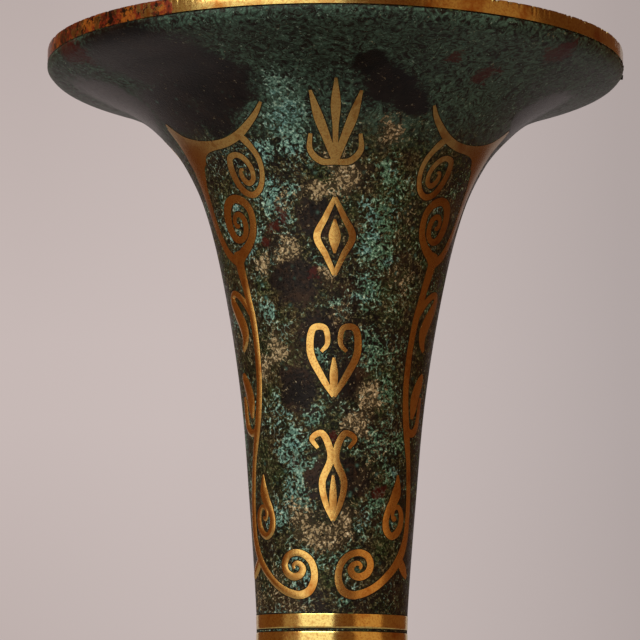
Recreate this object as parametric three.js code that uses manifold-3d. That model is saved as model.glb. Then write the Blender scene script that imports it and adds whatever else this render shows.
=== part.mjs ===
import * as THREE from 'three';
import { mergeVertices } from 'three/addons/utils/BufferGeometryUtils.js';
import Module from 'manifold-3d';

const wasm = await Module();
wasm.setup();

// Sizes in millimetres and angles in degrees
// Z is up from the foot's resting plane, azimuth 0 is the front (-Y) and grows towards +X

// Overall sizes
const vaseHeight = 292;
const mouthRadius = 80;
const lipHeight = 4.2;
const lipLandWidth = 3.4;
const shoulderInset = 3.1;
const wall = 2.4;
const neckBase = 136.4;
const waistLength = 49;
const waistBase = neckBase - waistLength;
const cupFloorTop = waistBase + 0.6;
const cupFloorThickness = 3.2;

// The neck's outline and ornament are drawn for this length and stretch with the neck
const drawnNeckLength = 151.4;
const neckStretch = (vaseHeight - lipHeight - neckBase) / drawnNeckLength;
const flareBase = neckBase + 98 * neckStretch;

// Outer outline of the casting, each point a height and a radius
const footOutline = [
  [0, 46.0],
  [6.4, 46.0],
  [8.2, 43.6],
  [14, 37.4],
  [24, 31.0],
  [40, 25.6],
  [58, 22.4],
  [waistBase - 10.4, 21.0],
  [waistBase, 21.0],
];
const waistOutline = [
  [waistBase, 21.0],
  [waistBase + 7.6, 23.3],
  [waistBase + 19.6, 24.6],
  [waistBase + 31.6, 23.3],
  [neckBase - 9.4, 20.8],
];
const neckOutline = [
  [neckBase - 9.4, 20.5],
  [neckBase, 20.57],
  [neckBase + 30 * neckStretch, 22.7],
  [neckBase + 60 * neckStretch, 25.4],
  [neckBase + 90 * neckStretch, 30.3],
  [neckBase + 112 * neckStretch, 35.9],
  [neckBase + 125.6 * neckStretch, 42.4],
  [neckBase + 133.6 * neckStretch, 49.2],
  [neckBase + 139.6 * neckStretch, 56.7],
  [neckBase + 144.1 * neckStretch, 66.9],
  [neckBase + 147.6 * neckStretch, mouthRadius - shoulderInset],
  [neckBase + 150 * neckStretch, mouthRadius - 0.2],
  [vaseHeight - lipHeight, mouthRadius],
];
const latheSegments = 28;
const plainRowStep = 28;
const curvedRowStep = 8;
const rowMargin = 1;

// How far corners inside the casting stand off: its floors, its rim's underside, its foot ring
const cornerRise = 4;
const cornerInset = 1.5;
const lipUnderside = 3.8;
const ringInset = 0.6;

// Gold inlays and their seats
const goldThickness = 0.8;
const goldProud = 0.2;
const clearance = 0.3;
const lipGoldThickness = 1.0;
const cutterReach = 2;

// Gold bands around the body, in pairs at the neck and the waist and a single one at the foot
const bandThickness = 0.9;
const bandHeight = 3.8;
const bandGroove = 0.9;
const bandSetback = 1.0;
const footBandHeight = 3.6;
const footBandBottom = 1.4;
const neckBandBottom = neckBase - bandHeight;
const waistBandBottom = waistBase - bandSetback - bandHeight;
const bandPitch = bandHeight + bandGroove;
const bands = [
  { name: 'neck_band_upper', bottom: neckBandBottom, height: bandHeight },
  { name: 'neck_band_lower', bottom: neckBandBottom - bandPitch, height: bandHeight },
  { name: 'waist_band_upper', bottom: waistBandBottom, height: bandHeight },
  { name: 'waist_band_lower', bottom: waistBandBottom - bandPitch, height: bandHeight },
  { name: 'foot_band', bottom: footBandBottom, height: footBandHeight },
];

// The neck's scrolls turn slightly with height, as laid out by hand
const scrollTwist = 0.07;
const scrollTwistCentre = 74;

// Neck scrollwork for one quarter of the vase, each piece of gold made of joined strands
// Each knot is an azimuth from the front, a height above the neck's base and a gold width
const neckScrolls = {
  crown: {
    crescent: [
      [28.0, 133.4, 0.8],
      [35.0, 128.8, 2.0],
      [44.0, 125.7, 2.4],
      [55.0, 125.1, 2.8],
      [64.0, 125.6, 4.2],
      [71.5, 127.6, 4.2],
      [76.3, 133.0, 1.4],
    ],
    side_stem: [
      [76.4, 131.0, 2.4],
      [73.4, 126.0, 8.4],
      [73.4, 121.4, 7.6],
      [75.6, 115.6, 4.9],
      [75.4, 109.6, 4.0],
      [72.4, 104.0, 3.2],
      [67.4, 98.8, 2.8],
      [61.8, 95.6, 2.2],
    ],
    upper_volute: [
      [39.5, 126.6, 2.0],
      [35.0, 121.2, 1.6],
      [34.2, 116.5, 1.5],
      [37.5, 112.1, 1.7],
      [44.0, 112.2, 1.8],
      [48.6, 116.7, 2.0],
      [48.3, 121.3, 1.8],
      [42.0, 121.0, 1.6],
      [38.6, 117.2, 1.4],
      [41.2, 114.4, 1.3],
      [44.6, 117.0, 0.9],
    ],
  },
  long_scroll: {
    main_stem: [
      [56.8, 95.8, 3.6],
      [53.0, 84.4, 2.7],
      [50.4, 75.6, 2.4],
      [51.9, 57.4, 2.4],
      [56.3, 49.2, 2.7],
      [61.8, 41.0, 2.2],
      [66.4, 31.0, 2.4],
      [67.5, 22.0, 2.7],
      [62.6, 16.4, 3.0],
      [52.0, 11.4, 2.5],
      [38.4, 7.4, 2.1],
      [24.0, 5.1, 2.1],
      [12.7, 5.9, 2.2],
      [8.6, 9.8, 1.9],
      [13.0, 14.8, 1.8],
      [23.6, 16.2, 1.8],
      [32.0, 14.2, 1.9],
      [30.6, 11.0, 1.9],
      [22.0, 9.8, 1.8],
      [17.5, 12.0, 1.5],
      [23.5, 13.3, 1.0],
    ],
    lower_volute: [
      [57.6, 94.0, 2.4],
      [48.0, 97.6, 2.4],
      [43.0, 102.5, 2.2],
      [43.6, 107.8, 2.2],
      [50.0, 110.9, 2.3],
      [57.0, 110.0, 2.8],
      [59.6, 105.3, 2.8],
      [56.4, 101.4, 2.2],
      [50.4, 101.2, 1.7],
      [48.2, 104.4, 1.6],
      [51.3, 107.1, 1.4],
      [54.4, 105.4, 1.0],
    ],
    upper_leaf: [
      [51.6, 79.6, 1.6],
      [57.0, 83.6, 2.0],
      [63.0, 86.0, 2.0],
      [68.0, 85.4, 2.6],
      [66.5, 81.8, 3.8],
      [61.8, 77.6, 4.0],
      [60.8, 74.4, 3.2],
      [64.5, 71.2, 1.2],
    ],
  },
  lower_leaf: {
    leaf: [
      [68.5, 65.2, 1.4],
      [65.5, 62.4, 3.8],
      [62.6, 59.3, 4.2],
      [61.6, 56.4, 4.0],
      [61.0, 52.8, 1.3],
    ],
  },
  teardrop: {
    drop: [
      [51.2, 37.2, 0.7],
      [51.3, 33.0, 3.2],
      [46.5, 28.8, 2.2],
      [42.8, 25.0, 2.0],
      [46.0, 21.4, 2.0],
      [54.0, 21.2, 2.1],
      [58.8, 24.8, 2.0],
      [55.5, 28.0, 1.5],
      [51.0, 26.6, 1.0],
    ],
  },
};

// Scrollwork on the waist, heights above its base, and on the foot, above the resting plane
const waistScroll = [
  [21.0, 15.0, 1.3],
  [20.0, 8.0, 1.6],
  [9.5, 9.6, 1.7],
  [7.5, 18.6, 1.8],
  [15.0, 26.2, 1.9],
  [28.0, 28.6, 2.0],
  [42.0, 24.2, 2.0],
  [54.0, 13.6, 1.9],
  [66.0, 7.8, 1.8],
  [78.0, 11.0, 1.6],
  [80.5, 19.0, 1.5],
  [70.0, 21.2, 1.2],
];
const footScroll = [
  [22, 30.0, 1.3],
  [13, 26.6, 1.6],
  [10, 35.0, 1.9],
  [24, 41.4, 2.1],
  [38, 36.0, 2.2],
  [52, 31.6, 2.1],
  [66, 38.0, 1.9],
  [65, 48.0, 1.6],
  [53, 48.6, 1.1],
];

// Upright column of ornament in the middle of the front and of the back
// Halves are mirrored to the other side, a spine stands on the middle itself
const columnMotifs = {
  palmette: {
    halves: [
      [
        [0.0, 118.6, 1.6],
        [3.2, 124.4, 2.2],
        [5.8, 129.6, 2.6],
        [7.6, 135.4, 0.8],
      ],
      [
        [0.0, 118.6, 1.6],
        [5.6, 118.8, 1.8],
        [9.6, 121.6, 1.6],
        [9.0, 125.6, 1.0],
      ],
    ],
    spine: [
      [0.0, 119.6, 1.4],
      [0.0, 127.0, 1.6],
      [0.0, 132.4, 2.6],
      [0.0, 138.0, 0.7],
    ],
  },
  lozenge: {
    halves: [
      [
        [0.0, 109.6, 1.2],
        [4.2, 104.6, 1.6],
        [8.4, 99.6, 1.9],
        [4.2, 94.6, 1.6],
        [0.0, 89.6, 1.2],
      ],
    ],
  },
  lozenge_heart: {
    spine: [
      [0.0, 104.0, 0.6],
      [0.0, 99.6, 3.2],
      [0.0, 95.2, 0.6],
    ],
  },
  ruyi: {
    halves: [
      [
        [0.0, 57.6, 1.3],
        [7.0, 62.6, 1.8],
        [13.6, 69.4, 2.0],
        [11.4, 75.6, 1.8],
        [5.2, 75.6, 1.6],
        [3.8, 71.4, 1.3],
        [7.2, 69.4, 0.9],
      ],
    ],
    spine: [
      [0.0, 58.0, 1.3],
      [0.0, 63.4, 2.2],
      [0.0, 67.8, 0.7],
    ],
  },
  pendant: {
    halves: [
      [
        [10.0, 43.8, 0.9],
        [13.8, 46.4, 1.4],
        [7.6, 47.8, 1.7],
        [1.5, 41.6, 1.9],
        [7.2, 34.8, 1.8],
        [4.8, 29.0, 1.5],
        [0.0, 24.6, 1.0],
      ],
    ],
    spine: [
      [0.0, 25.4, 1.2],
      [0.0, 31.0, 2.0],
      [0.0, 36.6, 0.7],
    ],
  },
};

const bronze = { color: 0x2b2622, roughness: 0.55, metalness: 0.8 };
const gold = { color: 0xd9a441, roughness: 0.35, metalness: 1.0 };

const toRadians = (degrees) => (degrees * Math.PI) / 180;

// Smooth value of an outline at a height, by cubic pieces with averaged slopes
function readOutline(outline, z) {
  let i = 0;
  while (i < outline.length - 2 && z > outline[i + 1][0]) i += 1;
  const slope = (k) => {
    const low = outline[Math.max(k - 1, 0)];
    const high = outline[Math.min(k + 1, outline.length - 1)];
    return (high[1] - low[1]) / (high[0] - low[0]);
  };
  const [z0, r0] = outline[i];
  const [z1, r1] = outline[i + 1];
  const span = z1 - z0;
  const t = (z - z0) / span;
  const rise = (3 - 2 * t) * t * t;
  const startSlope = span * slope(i) * t * (1 - t) ** 2;
  const endSlope = span * slope(i + 1) * t * t * (t - 1);
  return r0 + (r1 - r0) * rise + startSlope + endSlope;
}

function outerRadius(z) {
  if (z < footOutline[1][0]) return footOutline[0][1];
  if (z < waistOutline[0][0]) return readOutline(footOutline.slice(1), z);
  if (z < neckOutline[0][0]) return readOutline(waistOutline, z);
  return readOutline(neckOutline, z);
}

// Radius and height of the point that lies a depth below the outer surface
function belowSurface(z, depth) {
  const slope = (outerRadius(z + 0.1) - outerRadius(z - 0.1)) / 0.2;
  const length = Math.hypot(1, slope);
  return [outerRadius(z) - depth / length, z + (depth * slope) / length];
}

function heightSteps(from, to, step) {
  const count = Math.max(1, Math.round((to - from) / step));
  return Array.from({ length: count + 1 }, (_, i) => from + ((to - from) * i) / count);
}

// Outer profile between two heights
function outerStretch(from, to, step) {
  return heightSteps(from, to, step).map(onSurface);
}

// Heights of the foot's and the waist's own rows that lie well between two others
function rowsBetween(from, to) {
  const heights = [...footOutline, ...waistOutline.slice(1)].map(([z]) => z);
  return heights.filter((z) => z > from + rowMargin && z < to - rowMargin);
}

// Heights of the neck's own rows that lie well between two others
function flareRowsBetween(from, to) {
  const heights = neckOutline.map(([z]) => z);
  return heights.filter((z) => z > from + rowMargin && z < to - rowMargin);
}

const onSurface = (z) => new THREE.Vector2(outerRadius(z), z);
const insideWall = (z) => new THREE.Vector2(...belowSurface(z, wall));

// Seat for a gold band, square in section
function bandSeat({ bottom, height }) {
  const low = bottom - clearance;
  const high = bottom + height + clearance;
  const depth = bandThickness + clearance;
  const lowRadius = outerRadius(low);
  const highRadius = outerRadius(high);
  const seatRadius = Math.min(lowRadius, highRadius) - depth;
  return [
    new THREE.Vector2(lowRadius, low),
    new THREE.Vector2(seatRadius, low),
    new THREE.Vector2(seatRadius, high),
    new THREE.Vector2(highRadius, high),
  ];
}

function lipProfile() {
  const lipBottom = vaseHeight - lipHeight;
  const seatRadius = mouthRadius - lipGoldThickness - clearance;
  const underLip = lipBottom - clearance;
  const ends = [flareBase, ...flareRowsBetween(flareBase, underLip), underLip];
  const rows = ends.slice(1).flatMap((end, i) => heightSteps(ends[i], end, curvedRowStep).slice(1));
  return [
    onSurface(flareBase),
    ...rows.map(onSurface),
    new THREE.Vector2(seatRadius, underLip),
    new THREE.Vector2(seatRadius, vaseHeight),
    new THREE.Vector2(mouthRadius - lipLandWidth, vaseHeight),
  ];
}

function outerProfile() {
  const points = [new THREE.Vector2(footOutline[0][1], 0)];
  let start = 0;
  for (const band of [...bands].reverse()) {
    const seat = bandSeat(band);
    points.push(...rowsBetween(start, seat[0].y).map(onSurface), ...seat);
    start = seat[3].y;
  }
  points.push(...outerStretch(start, flareBase, plainRowStep).slice(1, -1));
  return points;
}

// Inside of the cup, from the mouth down to its flat floor
function cupProfile() {
  const waistRows = waistOutline.slice(1, -1).map(([z]) => z);
  const neckRows = heightSteps(neckBase, flareBase, plainRowStep);
  const top = vaseHeight - lipHeight - lipUnderside;
  const flareRows = [...flareRowsBetween(flareBase, top), top];
  const rows = [...waistRows, neckOutline[0][0] + rowMargin, ...neckRows, ...flareRows];
  const floorRadius = outerRadius(cupFloorTop) - wall - cornerInset;
  return [...rows.map(insideWall).reverse(), new THREE.Vector2(floorRadius, cupFloorTop)];
}

// Inside of the hollow foot, from its ceiling down to the resting ring
function footHollowProfile() {
  const ceiling = cupFloorTop - cupFloorThickness;
  const rows = rowsBetween(footOutline[1][0], ceiling - cornerRise);
  return [
    new THREE.Vector2(0, ceiling),
    new THREE.Vector2(outerRadius(ceiling) - wall - cornerInset, ceiling),
    ...rows.map(insideWall).reverse(),
    new THREE.Vector2(footOutline[0][1] - wall - ringInset, 0),
  ];
}

function turned(points) {
  return new THREE.LatheGeometry(points, latheSegments).rotateX(Math.PI / 2);
}

function bandRing({ bottom, height }) {
  const top = bottom + height;
  const inner = Math.min(outerRadius(bottom), outerRadius(top)) - bandThickness;
  return turned([
    new THREE.Vector2(inner, bottom),
    new THREE.Vector2(outerRadius(bottom) + goldProud, bottom),
    new THREE.Vector2(outerRadius(top) + goldProud, top),
    new THREE.Vector2(inner, top),
    new THREE.Vector2(inner, bottom),
  ]);
}

function lipRing() {
  const bottom = vaseHeight - lipHeight;
  const inner = mouthRadius - lipGoldThickness;
  return turned([
    new THREE.Vector2(inner, bottom),
    new THREE.Vector2(mouthRadius, bottom),
    new THREE.Vector2(mouthRadius, vaseHeight),
    new THREE.Vector2(inner, vaseHeight),
    new THREE.Vector2(inner, bottom),
  ]);
}

// Millimetres on the surface per degree of azimuth and per millimetre of height
function surfaceScale(z) {
  const slope = (outerRadius(z + 0.1) - outerRadius(z - 0.1)) / 0.2;
  return [toRadians(outerRadius(z)), Math.hypot(1, slope)];
}

// Stations along a strand, one at each knot
function stations(knots) {
  return knots.map(([azimuth, z, width]) => ({ azimuth, z, width }));
}

// Unit direction on the surface from one station to another
function directionBetween(from, to) {
  const [perDegree, perHeight] = surfaceScale((from.z + to.z) / 2);
  const across = (to.azimuth - from.azimuth) * perDegree;
  const up = (to.z - from.z) * perHeight;
  return new THREE.Vector2(across, up).normalize();
}

// Direction of a strand at a station, halfway between its two stretches there
function strandDirection(line, i) {
  const last = line.length - 1;
  const arriving = directionBetween(line[Math.max(i - 1, 0)], line[Math.max(i, 1)]);
  const leaving = directionBetween(line[Math.min(i, last - 1)], line[Math.min(i + 1, last)]);
  return arriving.add(leaving).normalize();
}

// Azimuth and height of a strand's edge at a station, side 1 being its left edge
function edgePoint(line, i, side, extra) {
  const station = line[i];
  const { x: across, y: up } = strandDirection(line, i);
  const [perDegree, perHeight] = surfaceScale(station.z);
  const half = side * (station.width / 2 + extra);
  const lengthen = ((i === line.length - 1) - (i === 0)) * extra;
  const azimuth = station.azimuth + (lengthen * across - half * up) / perDegree;
  return [azimuth, station.z + (lengthen * up + half * across) / perHeight];
}

// Strip that follows a strand on the casting, its thickness along the surface's normal
function strandSolid(knots, extra, below, above) {
  const line = stations(knots);
  const lengths = line.length - 1;
  const strip = new THREE.BoxGeometry(2, 2, lengths, 1, 1, lengths);
  const position = strip.attributes.position;
  for (let i = 0; i < position.count; i += 1) {
    const station = Math.round(position.getZ(i) + lengths / 2);
    const [azimuth, height] = edgePoint(line, station, position.getX(i), extra);
    const [radius, z] = belowSurface(height, position.getY(i) > 0 ? -above : below);
    const angle = toRadians(azimuth);
    position.setXYZ(i, radius * Math.sin(angle), -radius * Math.cos(angle), z);
  }
  return strip;
}

const goldStrand = (knots) => strandSolid(knots, 0, goldThickness, goldProud);

const seatCutter = (knots) =>
  strandSolid(knots, clearance, goldThickness + clearance, cutterReach);

// The four quarters of the vase, with the side each one mirrors the layout to
const quarters = [
  { name: 'front_left', place: (azimuth) => -azimuth },
  { name: 'front_right', place: (azimuth) => azimuth },
  { name: 'back_left', place: (azimuth) => azimuth - 180 },
  { name: 'back_right', place: (azimuth) => 180 - azimuth },
];
const panels = [
  { name: 'front', middle: 0 },
  { name: 'back', middle: 180 },
];

// Knots of one strand put in a quarter, heights counted from a base
function placeKnots(knots, place, base = 0, twist = 0) {
  return knots.map(([azimuth, height, width]) => [
    place(azimuth) + twist * (height - scrollTwistCentre),
    base + height,
    width,
  ]);
}

// Knots of a strand on the neck, which stretch with it
function placeOnNeck(knots, place, twist = 0) {
  const placed = placeKnots(knots, place, 0, twist);
  return placed.map(([azimuth, height, width]) => [azimuth, neckBase + height * neckStretch, width]);
}

// All inlaid pieces of gold, each a list of strands
function allInlays() {
  const inlays = {};
  for (const { name, place } of quarters) {
    for (const [piece, parts] of Object.entries(neckScrolls)) {
      inlays[`neck_${piece}_${name}`] = Object.values(parts).map((knots) =>
        placeOnNeck(knots, place, scrollTwist),
      );
    }
    inlays[`waist_scroll_${name}`] = [placeKnots(waistScroll, place, waistBase)];
    inlays[`foot_scroll_${name}`] = [placeKnots(footScroll, place)];
  }
  for (const { name, middle } of panels) {
    for (const [motif, { halves = [], spine }] of Object.entries(columnMotifs)) {
      const left = halves.map((knots) => placeOnNeck(knots, (a) => middle - a));
      const right = halves.map((knots) => placeOnNeck(knots, (a) => middle + a));
      const upright = spine ? [placeOnNeck(spine, (a) => middle + a)] : [];
      inlays[`column_${motif}_${name}`] = [...left, ...right, ...upright];
    }
  }
  return inlays;
}

// Closed solid for the boolean, with points shared between its faces
function toSolid(geometry) {
  const plain = geometry.clone();
  plain.deleteAttribute('normal');
  plain.deleteAttribute('uv');
  const merged = mergeVertices(plain, 1e-4);
  const index = Array.from(merged.index.array);
  const kept = [];
  for (let i = 0; i < index.length; i += 3) {
    const [a, b, c] = index.slice(i, i + 3);
    if (a !== b && b !== c && c !== a) kept.push(a, b, c);
  }
  const mesh = new wasm.Mesh({
    numProp: 3,
    vertProperties: Float32Array.from(merged.attributes.position.array),
    triVerts: Uint32Array.from(kept),
  });
  return new wasm.Manifold(mesh);
}

function toGeometry(solid) {
  const mesh = solid.getMesh();
  const geometry = new THREE.BufferGeometry();
  geometry.setAttribute('position', new THREE.BufferAttribute(mesh.vertProperties, 3));
  geometry.setIndex(new THREE.BufferAttribute(mesh.triVerts, 1));
  const faceted = geometry.toNonIndexed();
  faceted.computeVertexNormals();
  return faceted;
}

// One piece of gold, its strands joined
function inlayGeometry(strands) {
  const solids = strands.map((knots) => toSolid(goldStrand(knots)));
  return toGeometry(solids.reduce((joined, solid) => joined.add(solid)));
}

function castingGeometry(inlays) {
  const profile = [...footHollowProfile(), ...outerProfile(), ...lipProfile(), ...cupProfile()];
  profile.push(new THREE.Vector2(0, cupFloorTop));
  let casting = toSolid(turned(profile));
  for (const knots of Object.values(inlays).flat()) {
    casting = casting.subtract(toSolid(seatCutter(knots)));
  }
  return toGeometry(casting);
}

const vase = new THREE.Group();
vase.name = 'bronze_gu_vase';

function addPiece(name, geometry, look) {
  const mesh = new THREE.Mesh(geometry, new THREE.MeshStandardMaterial(look));
  mesh.name = name;
  vase.add(mesh);
}

const inlays = allInlays();
addPiece('vessel', castingGeometry(inlays), bronze);
addPiece('lip_band', lipRing(), gold);
for (const band of bands) addPiece(band.name, bandRing(band), gold);
for (const [name, strands] of Object.entries(inlays)) addPiece(name, inlayGeometry(strands), gold);

export default vase;
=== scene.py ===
"""Bronze gu vase with gold inlay: fine surfaces, materials, light and camera."""
import functools
import math

import bpy
from bpy.props import FloatProperty, PointerProperty, StringProperty
from mathutils import Matrix, Vector, noise


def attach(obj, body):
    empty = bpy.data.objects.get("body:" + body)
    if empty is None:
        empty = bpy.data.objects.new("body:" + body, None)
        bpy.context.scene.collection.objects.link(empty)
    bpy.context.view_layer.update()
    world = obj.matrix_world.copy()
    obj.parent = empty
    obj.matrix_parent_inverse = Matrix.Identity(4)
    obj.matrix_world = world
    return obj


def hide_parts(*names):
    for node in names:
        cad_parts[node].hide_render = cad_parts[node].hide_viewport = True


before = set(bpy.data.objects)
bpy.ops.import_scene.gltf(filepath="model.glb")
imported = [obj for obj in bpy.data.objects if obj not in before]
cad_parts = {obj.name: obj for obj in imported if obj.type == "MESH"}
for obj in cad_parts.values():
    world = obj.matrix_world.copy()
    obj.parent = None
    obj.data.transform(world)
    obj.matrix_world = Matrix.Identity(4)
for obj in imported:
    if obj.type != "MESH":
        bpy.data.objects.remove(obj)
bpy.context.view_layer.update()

bl_info = {
    "name": "Bronze gu vase",
    "version": (1, 0, 0),
    "blender": (4, 5, 0),
    "location": "View3D > Sidebar > Vase",
    "description": "Builds a cast bronze gu vase with gold inlay and a pale studio around it",
    "category": "Object",
}

MM = 0.001

# Outlines of the casting in millimetres, each point a height and a radius
NECK_BASE = 136.4
HEIGHT = 292.0
LIP_HEIGHT = 4.2
MOUTH_RADIUS = 80.0
WALL = 2.4
CUP_FLOOR = 88.0
FOOT_CEILING = 84.8
FOOT_OUTLINE = [
    (6.4, 46.0), (8.2, 43.6), (14, 37.4), (24, 31.0), (40, 25.6), (58, 22.4), (77, 21.0), (87.4, 21.0),
]
WAIST_OUTLINE = [(87.4, 21.0), (95, 23.3), (107, 24.6), (119, 23.3), (127, 20.8)]
NECK_OUTLINE = [
    (127, 20.5), (136.4, 20.57), (166.4, 22.7), (196.4, 25.4), (226.4, 30.3), (248.4, 35.9), (262, 42.4),
    (270, 49.2), (276, 56.7), (280.5, 66.9), (284, 76.9), (286.4, 79.8), (287.8, 80.0),
]
RING_SEGMENTS = 256
LIP_SEGMENTS = 1536

# Gold bands, each a node, a bottom height and a band height
BANDS = [
    ("neck_band_upper", 132.6, 3.8),
    ("neck_band_lower", 127.9, 3.8),
    ("waist_band_upper", 82.6, 3.8),
    ("waist_band_lower", 77.9, 3.8),
    ("foot_band", 1.4, 3.6),
]

# Neck scrollwork of one quarter, each piece of gold made of joined strands
# Each knot is an azimuth from the front, a height above the neck's base and a width
NECK_SCROLLS = {
    "crown": {
        "crescent": [
            (28, 133.4, 0.8), (31, 131, 1.5), (35.5, 128.6, 2.0), (40.5, 126.6, 2.4), (47, 125.3, 2.5),
            (55, 125.1, 2.8), (64, 125.6, 4.2), (71.5, 127.6, 4.4), (75, 130.2, 3.4), (76.3, 133, 1.4),
        ],
        "side_stem": [
            (77.4, 132.2, 1.4), (76.4, 129.8, 4.2), (74.8, 127.2, 7.4), (73.2, 124.8, 9.4),
            (72.8, 122.4, 9.0), (73.6, 120, 7.4), (75, 117.4, 5.8), (75.8, 114, 4.6), (75.6, 110, 3.9),
            (73.8, 105, 3.4), (69.6, 100.4, 3.0), (65.4, 97.4, 2.7), (58.5, 94.8, 2.4),
        ],
        "fillet": [
            (54, 124.8, 1.6), (59.6, 124.7, 2.6), (63.4, 124.6, 4.8), (67.6, 123.6, 7.6), (70.8, 120, 2.4),
        ],
        "upper_volute": [
            (40.8, 126.6, 1.8), (38.6, 125, 2.2), (36.5, 123, 1.8), (34.6, 120.4, 1.6), (34.0, 117.8, 1.5),
            (34.6, 115, 1.5), (36.6, 112.6, 1.7), (40, 111.4, 1.7), (44, 112.1, 1.8), (46.9, 114, 2.0),
            (48.7, 116.6, 2.1), (49.2, 119.2, 2.2), (48.2, 121.3, 1.9), (45.2, 121.9, 1.6),
            (42.2, 121.2, 1.7), (39.8, 119.4, 1.6), (38.6, 117.2, 1.5), (39.2, 115.1, 1.5),
            (41.3, 114.4, 1.5), (43.4, 115.2, 1.6), (44.6, 116.8, 1.5), (44.2, 118, 1.1), (42.8, 118, 0.8),
        ],
    },
    "long_scroll": {
        "main_stem": [
            (57.2, 97.6, 3.0), (56.8, 95.8, 3.8), (56, 92.4, 3.6), (54.4, 88.6, 3.0), (53, 84.4, 2.7),
            (51.3, 80, 2.6), (50.4, 75.6, 2.4), (50, 71, 2.3), (50.1, 66.4, 2.3), (50.6, 61.8, 2.3),
            (51.9, 57.4, 2.4), (54, 53, 2.7), (56.3, 49.2, 2.8), (59, 45.2, 2.6), (61.8, 41, 2.2),
            (64, 36.6, 2.3), (66.4, 31, 2.4), (67.6, 25.6, 2.6), (67, 20.6, 2.9), (63, 16.6, 3.1),
            (56.4, 13.2, 2.7), (47.5, 10, 2.3), (38.4, 7.4, 2.1), (28.8, 5.6, 2.1), (19.5, 4.9, 2.2),
            (12.7, 5.9, 2.2), (9.2, 8.2, 2.0), (8.8, 11.1, 1.8), (11.3, 13.8, 1.8), (16.6, 15.6, 1.8),
            (23.6, 16.2, 1.8), (29.6, 15.3, 1.9), (32.4, 13.1, 2.0), (30.6, 11, 2.0), (25, 9.8, 2.0),
            (19.7, 10.2, 1.9), (17.4, 11.7, 1.8), (19.2, 13, 1.5), (22.8, 13.4, 1.2), (25, 12.6, 1.0),
            (24, 11.9, 0.7),
        ],
        "lower_volute": [
            (57, 93.6, 2.6), (53.4, 96.2, 3.2), (48, 98.3, 2.7), (44.2, 101.1, 2.4), (42.9, 104.6, 2.2),
            (43.8, 107.8, 2.2), (47.4, 110.2, 2.4), (53, 111.1, 2.4), (57.8, 109.6, 3.2), (59.8, 106.8, 3.4),
            (59.4, 103.8, 3.1), (56.6, 101.2, 2.4), (52.4, 100.3, 1.8), (49, 101.3, 1.9), (47.7, 103.5, 1.9),
            (48.6, 105.8, 1.8), (51.3, 107, 1.5), (54, 106.6, 1.6), (54.9, 105.2, 1.6), (53.6, 104, 1.3),
            (51.8, 104, 0.9),
        ],
        "upper_leaf": [
            (51.2, 79.2, 1.4), (53.5, 81.2, 1.8), (56.6, 83.5, 2.1), (60.6, 85.4, 2.1), (65, 86.6, 1.9),
            (69, 86.4, 2.4), (69.6, 84.4, 3.4), (66.5, 81.6, 4.2), (62.6, 78.6, 4.4), (60.4, 75.8, 4.0),
            (61.4, 73.2, 2.9), (64.5, 71.2, 1.4),
        ],
        "curl": [
            (54.6, 51.6, 2.2), (58.4, 49.3, 2.1), (63.6, 49, 2.2), (68.4, 50.8, 2.6), (69.8, 53.8, 2.4),
            (69.8, 56.6, 2.2), (70.4, 59, 1.4),
        ],
        "fork": [(60.5, 14.6, 2.8), (67.8, 12.2, 3.2), (74.1, 10.2, 1.5)],
    },
    "lower_leaf": {
        "leaf": [
            (68.5, 65.2, 1.4), (66.6, 63.2, 3.6), (63.6, 60.4, 4.3), (61.9, 57.8, 4.3), (61.3, 55.2, 3.2),
            (60.6, 52.8, 1.3),
        ],
    },
    "teardrop": {
        "drop": [
            (51.2, 37.4, 0.6), (51.5, 35, 2.2), (51.2, 32.6, 3.5), (48.4, 30, 3.1), (44.6, 27.6, 2.2),
            (42.9, 25, 2.1), (44.2, 22.4, 2.3), (49.2, 20.9, 2.0), (56, 22.3, 2.4), (58.8, 24.8, 2.3),
            (57.6, 27.4, 2.0), (53.8, 28.8, 1.4), (50.2, 28.3, 1.2), (48.8, 26.8, 1.3), (50.2, 25.5, 1.4),
            (52.8, 25.9, 1.0),
        ],
    },
}
WAIST_SCROLL = [
    (21, 102.4, 1.3), (20, 95.4, 1.6), (9.5, 97, 1.7), (7.5, 106, 1.8), (15, 113.6, 1.9), (28, 116, 2.0),
    (42, 111.6, 2.0), (54, 101, 1.9), (66, 95.2, 1.8), (78, 98.4, 1.6), (80.5, 106.4, 1.5),
    (70, 108.6, 1.2),
]
FOOT_SCROLL = [
    (22, 30, 1.3), (13, 26.6, 1.6), (10, 35, 1.9), (24, 41.4, 2.1), (38, 36, 2.2), (52, 31.6, 2.1),
    (66, 38, 1.9), (65, 48, 1.6), (53, 48.6, 1.1),
]

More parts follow.
